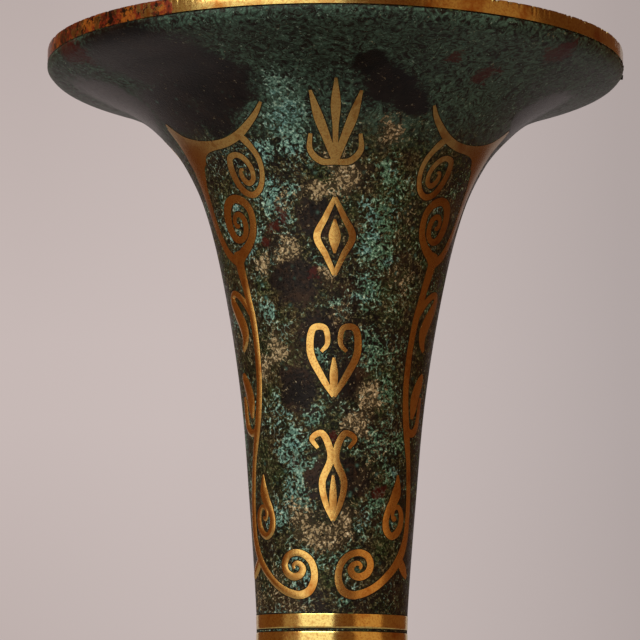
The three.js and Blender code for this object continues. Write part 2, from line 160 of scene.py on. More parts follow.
# Ornament column on the middle of the front and the back, halves are mirrored, a spine is not
COLUMN_MOTIFS = {
    "palmette": {
        "halves": [
            [(0, 118.6, 1.6), (3.2, 124.4, 2.2), (5.8, 129.6, 2.6), (7.6, 135.4, 0.8)],
            [(0, 118.6, 1.6), (5.6, 118.8, 1.8), (9.6, 121.6, 1.6), (9.0, 125.6, 1.0)],
        ],
        "spine": [(0, 119.6, 1.4), (0, 127, 1.6), (0, 132.4, 2.6), (0, 138, 0.7)],
    },
    "lozenge": {
        "halves": [[(0, 109.6, 1.2), (4.2, 104.6, 1.6), (8.4, 99.6, 1.9), (4.2, 94.6, 1.6), (0, 89.6, 1.2)]],
    },
    "lozenge_heart": {"spine": [(0, 104, 0.6), (0, 99.6, 3.2), (0, 95.2, 0.6)]},
    "ruyi": {
        "halves": [[
            (0, 57.6, 1.3), (7, 62.6, 1.8), (13.6, 69.4, 2.0), (11.4, 75.6, 1.8), (5.2, 75.6, 1.6),
            (3.8, 71.4, 1.3), (7.2, 69.4, 0.9),
        ]],
        "spine": [(0, 58, 1.3), (0, 63.4, 2.2), (0, 67.8, 0.7)],
    },
    "pendant": {
        "halves": [[
            (10, 43.8, 0.9), (13.8, 46.4, 1.4), (7.6, 47.8, 1.7), (1.5, 41.6, 1.9), (7.2, 34.8, 1.8),
            (4.8, 29, 1.5), (0, 24.6, 1.0),
        ]],
        "spine": [(0, 25.4, 1.2), (0, 31, 2.0), (0, 36.6, 0.7)],
    },
}

# Patches of each crust on the front: azimuth, height above the neck's base, radius
PATCHES = {
    "moss": [
        (20, 124, 9), (28, 115, 10), (22, 104, 10), (33, 86, 9), (30, 60, 8), (44, 142, 16), (44, 120, 10),
        (50, 100, 9), (-40, 60, 8), (-50, 110, 9), (24, 34, 8), (-22, 14, 8), (40, 20, 8), (10, 10, 7),
        (-17, 132, 9), (-38, 84, 7), (-60, 140, 10), (30, 146, 12),
    ],
    "turquoise": [
        (-18, 137, 6), (-16, 130, 7), (-16, 124, 6), (-29, 122, 4), (-30, 112, 5), (-19, 113, 3),
        (-27, 108, 5), (-42, 101, 4), (-39, 80, 4), (-14, 54, 4), (-25, 46, 4), (18, 86, 5), (19, 99, 6),
        (26, 95, 5), (22, 105, 6), (21, 118, 4), (22, 70, 5), (48, 47, 4), (-22, 38, 5), (-33, 43, 4),
        (27, 46, 4), (40, 38, 4), (33, 60, 4), (-40, 26, 4), (-24, 15, 3), (44, 25, 4), (5, 14, 3),
        (13, 4, 3), (58, 84, 4), (-8, 68, 3), (28, 30, 4), (-22, 31, 5),
    ],
    "tan": [
        (4, 114, 5), (0, 120, 4), (-7, 112, 3), (-25, 96, 4), (-39, 92, 3), (-46, 66, 4), (-36, 70, 4),
        (23, 58, 4), (14, 50, 4), (21, 127, 4), (-10, 21, 5), (8, 24, 3), (-3, 91, 3),
    ],
    "red": [
        (-11, 90, 3), (-25, 106, 2.5), (-30, 102, 2.5), (-35, 98, 2.5), (1, 46, 3), (32, 33, 2.5),
        (42, 141, 5), (-64, 149, 8), (52, 147, 6), (28, 143, 3),
    ],
    "bare": [
        (-47, 144, 18), (-35, 139, 11), (-60, 136, 10), (-44, 132, 6), (-84, 141, 13), (84, 139, 10),
        (9, 141, 5), (15, 137, 6), (24, 134, 5), (-8, 104, 5), (-20, 88, 6), (-10, 75, 5), (-22, 60, 5),
        (10, 62, 4), (-10, 35, 4), (12, 36, 5),
    ],
}

# A patch is full up to a share of its radius and gone at another
PATCH_FULL = 0.55
PATCH_GONE = 1.3

# Quarters of the vase, each a way to mirror or turn an azimuth
QUARTERS = {
    "front_left": lambda a: -a,
    "front_right": lambda a: a,
    "back_left": lambda a: a - 180,
    "back_right": lambda a: 180 - a,
}

# The neck's scrollwork turns by some degrees per millimetre, about a height on the neck
TWIST = 0.07
TWIST_CENTRE = 74.0

# Sections of the gold and of the dark line around it, each point a side, a lift and a dome
# The side is a share of half the width, the lift is in millimetres, the dome a share of the width
# The dark line dips in its middle, so that it stays under the gold where the flare curves
GOLD_SECTION = [
    (1, -0.4, 0), (1, 0.06, 0), (0.7, 0.065, 0.12), (0.35, 0.07, 0.21), (0, 0.07, 0.24),
    (-0.35, 0.07, 0.21), (-0.7, 0.065, 0.12), (-1, 0.06, 0), (-1, -0.4, 0),
]
SEAM_SECTION = [
    (1, -0.3, 0), (1, -0.02, 0), (0.7, 0.03, 0), (0, -0.15, 0), (-0.7, 0.03, 0), (-1, -0.02, 0),
    (-1, -0.3, 0),
]

# Strands: step along them, least width, widest dome, and where wear has levelled the domes
STRAND_STEP = 0.4
LEAST_WIDTH = 0.4
DOME_WIDTH = 2.6
WORN_HEIGHT = 98.0
WORN_BLEND = 12.0

# Studio paper in millimetres: half its width, its front end, its bend and its top
PAPER_HALF_WIDTH = 600
PAPER_FRONT = -450
PAPER_BACK = 700
PAPER_BEND = 500
PAPER_TOP = 2200

# Lamps in metres and watts: name, place, target, size, power and colour
LAMPS = [
    ("key", (-0.36, -0.772, 0.33), (0, 0, 0.21), (0.868, 1.15), 3.62, "#fffaf2"),
    ("high", (-0.329, -0.706, 0.66), (0, 0, 0.21), (0.8, 0.25), 3.1, "#fffaf2"),
    ("side", (-0.778, -0.363, 0.33), (0, 0, 0.21), (0.38, 1.15), 0.3, "#ffe2c4"),
    ("fill", (0.72, -0.46, 0.3), (0, 0, 0.21), (0.72, 1.1), 1.0, "#ffc88e"),
    ("top", (0.0, 0.1, 1.4), (0, 0, 0.25), (1.0, 1.0), 4, "#ffffff"),
]

# Camera: place in metres, turn in degrees, lens and sensor in millimetres
CAMERA_PLACE = (-0.00378, -0.821, 0.108)
CAMERA_PITCH = 7.618
CAMERA_ROLL = 0.369
CAMERA_LENS = 168.75
CAMERA_SENSOR = 36.0


def linear(code, alpha=1.0):
    """Linear colour of an sRGB hex code."""
    values = [int(code[i:i + 2], 16) / 255 for i in (1, 3, 5)]
    return [v / 12.92 if v <= 0.04045 else ((v + 0.055) / 1.055) ** 2.4 for v in values] + [alpha]


def read_outline(outline, z):
    """Smooth radius of an outline at a height."""
    i = 0
    while i < len(outline) - 2 and z > outline[i + 1][0]:
        i += 1

    def slope(k):
        low, high = outline[max(k - 1, 0)], outline[min(k + 1, len(outline) - 1)]
        return (high[1] - low[1]) / (high[0] - low[0])

    (z0, r0), (z1, r1) = outline[i], outline[i + 1]
    t = (z - z0) / (z1 - z0)
    bend = slope(i) * t * (1 - t) ** 2 + slope(i + 1) * t * t * (t - 1)
    return r0 + (r1 - r0) * (3 - 2 * t) * t * t + (z1 - z0) * bend


def outer_radius(z):
    """Radius of the casting's outer surface at a height."""
    if z < FOOT_OUTLINE[0][0]:
        return FOOT_OUTLINE[0][1]
    if z < WAIST_OUTLINE[0][0]:
        return read_outline(FOOT_OUTLINE, z)
    return read_outline(WAIST_OUTLINE if z < NECK_OUTLINE[0][0] else NECK_OUTLINE, z)


def slope_at(z):
    """Slope of the outer surface, radius over height."""
    return (outer_radius(z + 0.1) - outer_radius(z - 0.1)) / 0.2


def off_surface(z, lift):
    """Radius and height of the point that lies a lift outside the outer surface."""
    slope = slope_at(z)
    length = math.hypot(1, slope)
    return outer_radius(z) + lift / length, z - lift * slope / length


def steps(start, end, size):
    """Values from start to end, both included, about a size apart."""
    count = max(1, round(abs(end - start) / size))
    return [start + (end - start) * i / count for i in range(count + 1)]


def make_object(name, vertices, faces, material, edges=None):
    """Object from points in millimetres, with a value of 0 to 1 that tells how near an edge each is."""
    mesh = bpy.data.meshes.new(name)
    mesh.from_pydata([tuple(c * MM for c in v) for v in vertices], [], faces)
    if edges:
        mesh.attributes.new("edge", "FLOAT", "POINT").data.foreach_set("value", edges)
    mesh.materials.append(material)
    mesh.shade_smooth()
    mesh.set_sharp_from_angle(angle=math.radians(28))
    piece = bpy.data.objects.new(name, mesh)
    bpy.context.scene.collection.objects.link(piece)
    return piece


def lathe(name, profile, segments, material, closed=False, wear=None):
    """Turned piece from a profile of radii and heights, worn by a function that moves its points."""
    rows = len(profile)
    vertices = []
    for radius, z in profile:
        for k in range(segments):
            angle = 2 * math.pi * k / segments
            r, h = wear(angle, radius, z) if wear else (radius, z)
            vertices.append((r * math.sin(angle), -r * math.cos(angle), h))
    faces = []
    for i in range(rows if closed else rows - 1):
        low, high = i * segments, ((i + 1) % rows) * segments
        for k in range(segments):
            n = (k + 1) % segments
            faces.append((low + k, low + n, high + n, high + k))
    if not closed:
        faces.append(tuple(range(segments))[::-1])
        faces.append(tuple(range((rows - 1) * segments, rows * segments)))
    return make_object(name, vertices, faces, material)


def roughness_at(angle, radius, z, size):
    """Smooth noise of -1 to 1 around a ring, with lumps of a size in millimetres."""
    return noise.noise(Vector((radius * math.sin(angle), -radius * math.cos(angle), z)) / size)


def worn_lip(angle, radius, z):
    """Nicks along the lip's upper edge, more of them on its right side."""
    share = max(0.0, min(1.0, (z - HEIGHT + 0.7) / 0.5)) * (0.6 + 0.4 * math.sin(angle))
    nick = max(0.0, roughness_at(angle, radius, 0, 0.9) - 0.1)
    nick += max(0.0, roughness_at(angle, radius, 9, 3) - 0.2)
    return radius - 0.5 * share * nick, z - 1.3 * share * nick


def rough_crust(angle, radius, z):
    """Lumpy corrosion under the lip, with a spur at the right end."""
    share = max(0.0, math.sin(angle))
    spur = max(0.0, 1 - abs(math.degrees(angle) - 92) / 0.9)
    lump = max(0.0, roughness_at(angle, radius, 0, 1.3)) * share + 1.6 * spur
    return radius + 0.5 * lump * (radius > 79.4), z - 0.5 * lump * (z < HEIGHT - LIP_HEIGHT)


def spline(knots):
    """Points of a centripetal spline through knots of (azimuth, height, width)."""
    points = [Vector((a * math.radians(1) * outer_radius(z), z, w)) for a, z, w in knots]
    points = [2 * points[0] - points[1]] + points + [2 * points[-1] - points[-2]]
    line = []
    for a, b, c, d in zip(points, points[1:], points[2:], points[3:]):
        t1 = (b - a).length ** 0.5
        t2 = t1 + (c - b).length ** 0.5
        t3 = t2 + (d - c).length ** 0.5
        count = max(2, round((c - b).length / STRAND_STEP))
        for k in range(count):
            t = t1 + (t2 - t1) * k / count
            a1 = a.lerp(b, t / t1)
            a2 = b.lerp(c, (t - t1) / (t2 - t1))
            a3 = c.lerp(d, (t - t2) / (t3 - t2))
            b1 = a1.lerp(a2, t / t2)
            b2 = a2.lerp(a3, (t - t1) / (t3 - t1))
            line.append(b1.lerp(b2, (t - t1) / (t2 - t1)))
    line.append(points[-2])
    return [(math.degrees(p.x / outer_radius(p.y)), p.y, max(p.z, LEAST_WIDTH)) for p in line]


def strand(knots, section, extra):
    """Vertices and faces of a strip along a strand, widened by an extra width on each side.

    Its dome shows low on the left, and wear has levelled the rest.
    """
    line = spline(knots)
    vertices, faces = [], []
    for i, (azimuth, z, width) in enumerate(line):
        before, after = line[max(i - 1, 0)], line[min(i + 1, len(line) - 1)]
        per_degree = math.radians(outer_radius(z))
        per_height = math.hypot(1, slope_at(z))
        across, up = (after[0] - before[0]) * per_degree, (after[1] - before[1]) * per_height
        length = math.hypot(across, up)
        across, up = across / length, up / length
        end = ((i == len(line) - 1) - (i == 0)) * extra
        proud = min(width, DOME_WIDTH) * max(0.0, -math.sin(math.radians(azimuth))) ** 2
        proud *= max(0.0, min(1.0, (NECK_BASE + WORN_HEIGHT - z) / WORN_BLEND))
        for side, lift, dome in section:
            half = side * (width / 2 + extra)
            lift += dome * proud
            a = math.radians(azimuth + (end * across - half * up) / per_degree)
            radius, height = off_surface(z + (end * up + half * across) / per_height, lift)
            vertices.append((radius * math.sin(a), -radius * math.cos(a), height))
    count = len(section)
    for i in range(len(line) - 1):
        for k in range(count):
            n = (k + 1) % count
            low, high = i * count, (i + 1) * count
            faces.append((low + k, high + k, high + n, low + n))
    faces.append(tuple(range(count)))
    faces.append(tuple(range((len(line) - 1) * count, len(line) * count))[::-1])
    return vertices, faces


def strands_piece(name, strands, section, extra, material):
    """One piece made of several strands."""
    vertices, faces = [], []
    for knots in strands:
        more, more_faces = strand(knots, section, extra)
        faces += [tuple(k + len(vertices) for k in face) for face in more_faces]
        vertices += more
    sides = [abs(side) for side, lift, dome in section]
    edges = sides * (len(vertices) // len(sides))
    return make_object(name, vertices, faces, material, edges)


# Settings of a node that mixes two colours, inputs 6 and 7, by a factor, input 0
MIX = {"output": 2, "data_type": "RGBA"}


def add_node(tree, kind, inputs=None, output=0, **settings):
    """Adds a node, fills its inputs with values or links, and returns an output, or all of them."""
    node = tree.nodes.new("ShaderNode" + kind)
    for key, value in settings.items():
        setattr(node, key, value)
    for key, value in (inputs or {}).items():
        if isinstance(value, bpy.types.NodeSocket):
            tree.links.new(value, node.inputs[key])
        else:
            node.inputs[key].default_value = value
    return node.outputs if output is None else node.outputs[output]


def per_mm(size):
    """Texture scale whose patches measure about a size in millimetres."""
    return 1000 / size


def start_material(name):
    """Empty material, a way to add nodes to it, and its object coordinates."""
    material = bpy.data.materials.get(name) or bpy.data.materials.new(name)
    material.use_nodes = True
    material.node_tree.nodes.clear()
    add = functools.partial(add_node, material.node_tree)
    return material, add, add("TexCoord", output=3)


def patch_cover(add, coords, patches):
    """Soft cover of 0 to 1 around listed patches of (azimuth, height, radius)."""
    cover = 0.0
    for azimuth, height, radius in patches:
        z = NECK_BASE + height
        angle = math.radians(azimuth)
        centre = (outer_radius(z) * math.sin(angle), -outer_radius(z) * math.cos(angle), z)
        distance = add("VectorMath", {0: coords, 1: [c * MM for c in centre]}, 1, operation="DISTANCE")
        radius *= MM
        near = add("MapRange", {
            0: distance, 1: PATCH_FULL * radius, 2: PATCH_GONE * radius, 3: 1.0, 4: 0.0})
        cover = add("Math", {0: cover, 1: near}, operation="MAXIMUM")
    return cover


def bronze_material():
    """Cast bronze, buried for long: a black waxed skin under crusts of copper salts.

    It gives the eye a near black satin ground with a lace of thin threads, an olive green film
    that turns to grey green curls under the lip, crisp turquoise and green flecks like coral,
    round green beads, tan earth in dense threads and a few spots of dark red copper oxide.
    Threads are drawn about 0.4 mm wide, twice their real width, so that they show.
    """
    colours = bpy.context.scene.vase_colours
    material, add, place = start_material("cast_bronze_patinated")
    wander = add("TexNoise", {"Vector": place, "Scale": per_mm(6), "Detail": 5, "Roughness": 0.65}, 1)
    wander = add("VectorMath", {0: wander, 1: (0.5, 0.5, 0.5)}, operation="SUBTRACT")
    wander = add("VectorMath", {0: wander, 1: (0.012, 0.012, 0.012)}, operation="MULTIPLY")
    strayed = add("VectorMath", {0: place, 1: wander})
    axes = add("SeparateXYZ", {0: strayed}, None)
    on_neck = add("MapRange", {0: axes[2], 1: 0.25, 2: 0.27, 3: 1.0, 4: 0.2})

    # Noises shared by the crusts
    soft = add("TexNoise", {"Vector": place, "Scale": per_mm(7), "Detail": 8, "Roughness": 0.7})
    grain = add("TexNoise", {"Vector": place, "Scale": per_mm(1.1), "Detail": 6, "Roughness": 0.75})
    fine = add("TexNoise", {"Vector": place, "Scale": per_mm(0.6), "Detail": 3, "Roughness": 0.7})

    # Two laces of threads, the contour lines of noises, each line about 1 mm from the next
    laces = []
    for size, step in ((2.4, 0.1), (1.7, 0.12)):
        swirl = add("TexNoise", {"Vector": place, "Scale": per_mm(size), "Detail": 2, "W": size},
                    noise_dimensions="4D")
        wave = add("Math", {0: swirl, 1: step}, operation="PINGPONG")
        laces.append(add("MapRange", {0: wave, 1: 0.2 * step, 2: step}))
    lace, thin_lace = laces

    # Ground, near black, with umber stains and faint threads
    cloud = add("MapRange", {0: soft, 1: 0.4, 2: 0.66})
    base = add("Mix", {0: cloud, 6: linear(colours.ground_dark), 7: linear(colours.ground_light)}, **MIX)
    umber = add("TexNoise", {"Vector": strayed, "Scale": per_mm(10), "Detail": 6, "Roughness": 0.6})
    umber = add("Math", {0: lace, 1: 0.12, 2: umber}, operation="MULTIPLY_ADD")
    umber = add("MapRange", {0: umber, 1: 0.54, 2: 0.7, 4: 0.8})
    umber = add("Math", {0: umber, 1: on_neck}, operation="MULTIPLY")
    base = add("Mix", {0: umber, 6: base, 7: linear(colours.umber)}, **MIX)
    faint = add("Math", {0: thin_lace, 1: grain}, operation="MULTIPLY")
    faint = add("MapRange", {0: faint, 1: 0.44, 2: 0.6, 4: 0.7})
    faint = add("Math", {0: faint, 1: on_neck}, operation="MULTIPLY")
    base = add("Mix", {0: faint, 6: base, 7: linear(colours.tan_dark)}, **MIX)

    # Cover of each crust: listed patches in front, and drifts all around, fewer on the flare
    covers = {}
    for key, size, low in (("moss", 24, 0.4), ("turquoise", 11, 0.44), ("tan", 12, 0.5), ("red", 13, 0.58)):
        drift = add("TexNoise", {"Vector": place, "Scale": per_mm(size), "Detail": 3, "W": size},
                    noise_dimensions="4D")
        drift = add("MapRange", {0: drift, 1: low, 2: low + 0.24, 4: 0.8})
        drift = add("Math", {0: drift, 1: on_neck}, operation="MULTIPLY")
        cover = patch_cover(add, strayed, PATCHES[key])
        covers[key] = add("Math", {0: cover, 1: drift}, operation="MAXIMUM")
    bare = patch_cover(add, strayed, PATCHES["bare"])
    bare = add("MapRange", {0: bare, 3: 1.0, 4: 0.25})

    # Olive green film, drawn out in threads, and in wider curls under the lip, where it is grey green and
    # painted lighter to make up for the dim light on the flare's underside
    film = add("Math", {0: thin_lace, 1: 0.25, 2: grain}, operation="MULTIPLY_ADD")
    film = add("Math", {0: covers["moss"], 1: 0.3, 2: film}, operation="MULTIPLY_ADD")
    under_lip = add("MapRange", {0: axes[2], 1: 0.258, 2: 0.268})
    film = add("Math", {0: under_lip, 1: 0.2, 2: film}, operation="MULTIPLY_ADD")
    film = add("Math", {0: film, 1: bare}, operation="MULTIPLY")
    film = add("MapRange", {0: film, 1: 0.5, 2: 0.9})
    warm = add("MapRange", {0: soft, 1: 0.44, 2: 0.58})
    light = add("Mix", {0: warm, 6: linear(colours.moss), 7: linear(colours.olive)}, **MIX)
    shade = add("Math", {0: lace, 1: 0.2, 2: grain}, operation="MULTIPLY_ADD")
    shade = add("MapRange", {0: shade, 1: 0.46, 2: 0.78})
    shade = add("Mix", {0: shade, 6: linear(colours.moss_dark), 7: light}, **MIX)
    pale = add("Math", {0: fine, 1: grain})
    pale = add("Math", {0: thin_lace, 1: 0.35, 2: pale}, operation="MULTIPLY_ADD")
    pale = add("MapRange", {0: pale, 1: 1.22, 2: 1.55, 4: 0.8})
    shade = add("Mix", {0: pale, 6: shade, 7: linear(colours.lichen)}, **MIX)
    curl = add("TexNoise", {
        "Vector": place, "Scale": per_mm(3), "Detail": 4, "Roughness": 0.6, "Distortion": 2.5})
    curl = add("MapRange", {0: curl, 1: 0.4, 2: 0.68})
    curl = add("Mix", {0: curl, 6: linear(colours.ground_light), 7: linear(colours.veil)}, **MIX)
    shade = add("Mix", {0: under_lip, 6: shade, 7: curl}, **MIX)
    base = add("Mix", {0: film, 6: base, 7: shade}, **MIX)

    # Beads of malachite, round, up to 1.5 mm wide, each with a darker ring
    beads = add("TexVoronoi", {"Vector": place, "Scale": per_mm(2.8)}, None)
    picked = add("MapRange", {0: beads["Color"], 1: 0.56, 2: 0.6})
    picked = add("Math", {0: picked, 1: covers["moss"]}, operation="MULTIPLY")
    bead = add("MapRange", {0: beads["Distance"], 1: 0.2, 2: 0.3, 3: 1.0, 4: 0.0})
    bead = add("Math", {0: bead, 1: picked}, operation="MULTIPLY")
    ring = add("MapRange", {0: beads["Distance"], 1: 0.08, 2: 0.2, 3: 0.9, 4: 0.2})
    disc = add("Mix", {0: ring, 6: linear(colours.moss_dark), 7: linear(colours.green)}, **MIX)
    base = add("Mix", {0: bead, 6: base, 7: disc}, **MIX)

    # Turquoise threads and flecks, greener towards the right, palest along their middles
    growth = add("Math", {0: covers["turquoise"], 1: 0.5}, operation="MULTIPLY")
    growth = add("Math", {0: lace, 1: 0.5, 2: growth}, operation="MULTIPLY_ADD")
    growth = add("Math", {0: grain, 1: 1.4, 2: growth}, operation="MULTIPLY_ADD")
    growth = add("Math", {0: bare, 1: growth}, operation="MULTIPLY")
    fleck = add("MapRange", {0: growth, 1: 1.22, 2: 1.46})
    tone = add("Math", {0: fine, 1: 1.3, 2: grain}, operation="MULTIPLY_ADD")
    tone = add("MapRange", {0: tone, 1: 1.0, 2: 1.55})
    hue = add("MapRange", {0: axes[0], 1: -0.012, 2: 0.02})
    shade = add("Mix", {0: hue, 6: linear(colours.green), 7: linear(colours.leaf_dark)}, **MIX)
    light = add("Mix", {0: hue, 6: linear(colours.turquoise), 7: linear(colours.leaf)}, **MIX)
    azure = add("TexNoise", {"Vector": place, "Scale": per_mm(6), "Detail": 2})
    azure = add("MapRange", {0: azure, 1: 0.54, 2: 0.62})
    light = add("Mix", {0: azure, 6: light, 7: linear(colours.cyan)}, **MIX)
    light = add("Mix", {0: tone, 6: shade, 7: light}, **MIX)
    base = add("Mix", {0: fleck, 6: base, 7: light}, **MIX)

    # Tan earth, in dense threads on a thin brown wash
    wash = add("MapRange", {0: covers["tan"], 1: 0.3, 2: 0.9, 4: 0.75})
    base = add("Mix", {0: wash, 6: base, 7: linear(colours.tan_dark)}, **MIX)
    earth = add("Math", {0: covers["tan"], 1: 0.55}, operation="MULTIPLY")
    earth = add("Math", {0: thin_lace, 1: 0.55, 2: earth}, operation="MULTIPLY_ADD")
    earth = add("Math", {0: grain, 1: 1.2, 2: earth}, operation="MULTIPLY_ADD")
    earth = add("MapRange", {0: earth, 1: 1.2, 2: 1.42})
    shade = add("Mix", {0: tone, 6: linear(colours.tan_mid), 7: linear(colours.tan)}, **MIX)
    base = add("Mix", {0: earth, 6: base, 7: shade}, **MIX)

    # Pale tips on the thickest threads, partly painted glints: their palest colours stand in for light
    # glinting off the crust
    spark = add("Math", {0: fine, 1: grain})
    spark = add("Math", {0: lace, 1: 0.25, 2: spark}, operation="MULTIPLY_ADD")
    spark = add("MapRange", {0: spark, 1: 1.26, 2: 1.42, 4: 0.85})
    thick = add("Math", {0: fleck, 1: earth}, operation="MAXIMUM")
    spark = add("Math", {0: spark, 1: thick}, operation="MULTIPLY")
    shade = add("Mix", {0: earth, 6: linear(colours.spark), 7: linear(colours.cream)}, **MIX)
    base = add("Mix", {0: spark, 6: base, 7: shade}, **MIX)

    # Black gaps between the grains
    gap = add("MapRange", {0: fine, 1: 0.34, 2: 0.46, 3: 0.92, 4: 0.0})
    fewer = add("MapRange", {0: under_lip, 3: 1.0, 4: 0.3})
    gap = add("Math", {0: gap, 1: fewer}, operation="MULTIPLY")
    base = add("Mix", {0: gap, 6: base, 7: linear(colours.ground_dark)}, **MIX)

    # Red copper oxide, smooth and dark
    rust = add("Math", {0: covers["red"], 1: 0.4, 2: grain}, operation="MULTIPLY_ADD")
    rust = add("MapRange", {0: rust, 1: 0.74, 2: 0.88, 4: 0.85})
    base = add("Mix", {0: rust, 6: base, 7: linear(colours.red)}, **MIX)

    # Crusts are rough and matt, and half as much under the lip
    relief = add("Math", {0: thick, 1: 1.2, 2: fine}, operation="MULTIPLY_ADD")
    normal = add("Bump", {"Strength": 0.7, "Distance": 0.0002, "Height": relief})
    crust = add("Math", {0: thick, 1: gap}, operation="MAXIMUM")
    crust = add("Math", {0: crust, 1: film}, operation="MAXIMUM")
    smoother = add("MapRange", {0: under_lip, 3: 1.0, 4: 0.5})
    crust = add("Math", {0: crust, 1: smoother}, operation="MULTIPLY")
    rough = add("MapRange", {0: crust, 3: 0.28, 4: 0.65})
    sheen = add("MapRange", {0: crust, 3: 0.17, 4: 0.03})
    shader = add("BsdfPrincipled", {
        "Base Color": base, "Roughness": rough, "Specular IOR Level": sheen, "Normal": normal})
    add("OutputMaterial", {"Surface": shader}, None)
    return material


def gold_material(name, tint, roughness, stain, spots, dull=0.0, rust_end=None):
    """Gold laid on bronze, satin, with orange-brown stains, dark pits and green creeping on.

    Stain, spots and the amount of painted side shade run from 0 to 1. The side shade is painted shade:
    the gold is darkened to brown towards +X, at the far -X side and higher up, where less light falls
    on it. Past rust_end, towards -X, the gold is torn and its wear shows a mottle of red oxide, brown and
    yellow with black cracks.
    """
    colours = bpy.context.scene.vase_colours
    material, add, place = start_material(name)
    cloud = add("TexNoise", {"Vector": place, "Scale": per_mm(7), "Detail": 7, "Roughness": 0.65})
    cloud = add("MapRange", {0: cloud, 1: 0.62 - 0.22 * stain, 2: 0.8 - 0.22 * stain, 4: 0.85})
    base = add("Mix", {0: cloud, 6: linear(tint), 7: linear(colours.gold_stain)}, **MIX)

    # Fine grain of the beaten foil, drawn 0.6 mm wide, coarser than it is, so that it shows
    grain = add("TexNoise", {"Vector": place, "Scale": per_mm(0.6), "Detail": 3, "Roughness": 0.6})
    worn = add("MapRange", {0: grain, 1: 0.3, 2: 0.55, 3: 0.4 + 0.4 * stain, 4: 0.0})
    base = add("Mix", {0: worn, 6: base, 7: linear(colours.gold_stain)}, **MIX)

    # Painted shade: the gold turns brown high up, on both sides and most of all on the right, where less
    # light falls
    split = add("SeparateXYZ", {0: place}, None)
    tarnish = add("Math", {0: split[0], 1: -1.3, 2: -0.035}, operation="MULTIPLY_ADD")
    tarnish = add("Math", {0: tarnish, 1: split[0]}, operation="MAXIMUM")
    tarnish = add("Math", {0: split[2], 1: 0.3, 2: tarnish}, operation="MULTIPLY_ADD")
    tarnish = add("Math", {0: cloud, 1: 0.012, 2: tarnish}, operation="MULTIPLY_ADD")
    tarnish = add("MapRange", {0: tarnish, 1: 0.062, 2: 0.11, 4: dull})
    base = add("Mix", {0: tarnish, 6: base, 7: linear(colours.gold_dull)}, **MIX)

    # Pits, and corrosion that nibbles at the edges
    edge = add("Attribute", output=2, attribute_name="edge")
    pit = add("TexNoise", {"Vector": place, "Scale": per_mm(1.2), "Detail": 5, "Roughness": 0.75})
    pit = add("Math", {0: edge, 1: 0.08, 2: pit}, operation="MULTIPLY_ADD")
    pit = add("MapRange", {0: pit, 1: 0.75 - 0.1 * spots, 2: 0.79 - 0.1 * spots})
    dirt = add("TexNoise", {"Vector": place, "Scale": per_mm(4), "Detail": 2})
    dirt = add("MapRange", {0: dirt, 1: 0.52, 2: 0.58})
    dirt = add("Mix", {0: dirt, 6: linear(colours.gold_pit), 7: linear(colours.moss)}, **MIX)

    # Torn end, with a mottle of oxides where the gold is gone
    earthy = 0.0
    if rust_end is not None:
        tear = add("TexNoise", {"Vector": place, "Scale": per_mm(5), "Detail": 5, "Roughness": 0.6})
        tear = add("Math", {0: tear, 1: -0.02, 2: split[0]}, operation="MULTIPLY_ADD")
        tear = add("MapRange", {0: tear, 1: rust_end - 0.0102, 2: rust_end - 0.0098, 3: 1.0, 4: 0.0})
        mottle = add("TexNoise", {"Vector": place, "Scale": per_mm(4), "Detail": 6, "Roughness": 0.75})
        red = add("MapRange", {0: mottle, 1: 0.42, 2: 0.5})
        brown = add("MapRange", {0: mottle, 1: 0.52, 2: 0.6})
        crack = add("TexNoise", {"Vector": place, "Scale": per_mm(2.2), "Detail": 5, "Roughness": 0.7})
        crack = add("MapRange", {0: crack, 1: 0.43, 2: 0.49})
        oxide = add("Mix", {0: red, 6: linear(colours.gold_stain), 7: linear(colours.gold_rust)}, **MIX)
        oxide = add("Mix", {0: brown, 6: oxide, 7: linear(colours.rust_brown)}, **MIX)
        oxide = add("Mix", {0: crack, 6: linear(colours.gold_pit), 7: oxide}, **MIX)
        flake = add("TexNoise", {"Vector": place, "Scale": per_mm(6), "Detail": 5, "Roughness": 0.7})
        flake = add("MapRange", {0: flake, 1: 0.4, 2: 0.44})
        flake = add("Math", {0: flake, 1: tear}, operation="MULTIPLY")
        base = add("Mix", {0: flake, 6: base, 7: oxide}, **MIX)
        cloud = add("Math", {0: cloud, 1: tear}, operation="MAXIMUM")
        earthy = add("Math", {0: flake, 1: 0.55}, operation="MULTIPLY")
    base = add("Mix", {0: pit, 6: base, 7: dirt}, **MIX)

    earthy = add("Math", {0: pit, 1: earthy}, operation="MAXIMUM")
    metal = add("Math", {0: 1.0, 1: earthy}, operation="SUBTRACT")
    rough = add("MapRange", {0: cloud, 3: roughness, 4: roughness + 0.12})
    rough = add("Math", {0: pit, 1: 0.4, 2: rough}, operation="MULTIPLY_ADD")
    relief = add("Math", {0: pit, 1: -2.0, 2: grain}, operation="MULTIPLY_ADD")
    normal = add("Bump", {"Strength": 0.25, "Distance": 0.00004, "Height": relief})
    shader = add("BsdfPrincipled", {
        "Base Color": base, "Metallic": metal, "Roughness": rough, "Normal": normal})
    add("OutputMaterial", {"Surface": shader}, None)
    return material


def seam_material():
    """Corrosion that fills the narrow gap between gold and bronze: black, with green grains."""
    colours = bpy.context.scene.vase_colours
    material, add, place = start_material("seat_line_corrosion")
    grain = add("TexNoise", {"Vector": place, "Scale": per_mm(1.6), "Detail": 5, "Roughness": 0.7})
    grain = add("MapRange", {0: grain, 1: 0.52, 2: 0.68})
    base = add("Mix", {0: grain, 6: linear(colours.seam), 7: linear(colours.moss)}, **MIX)
    shader = add("BsdfPrincipled", {"Base Color": base, "Roughness": 0.8, "Specular IOR Level": 0.2})
    add("OutputMaterial", {"Surface": shader}, None)
    return material


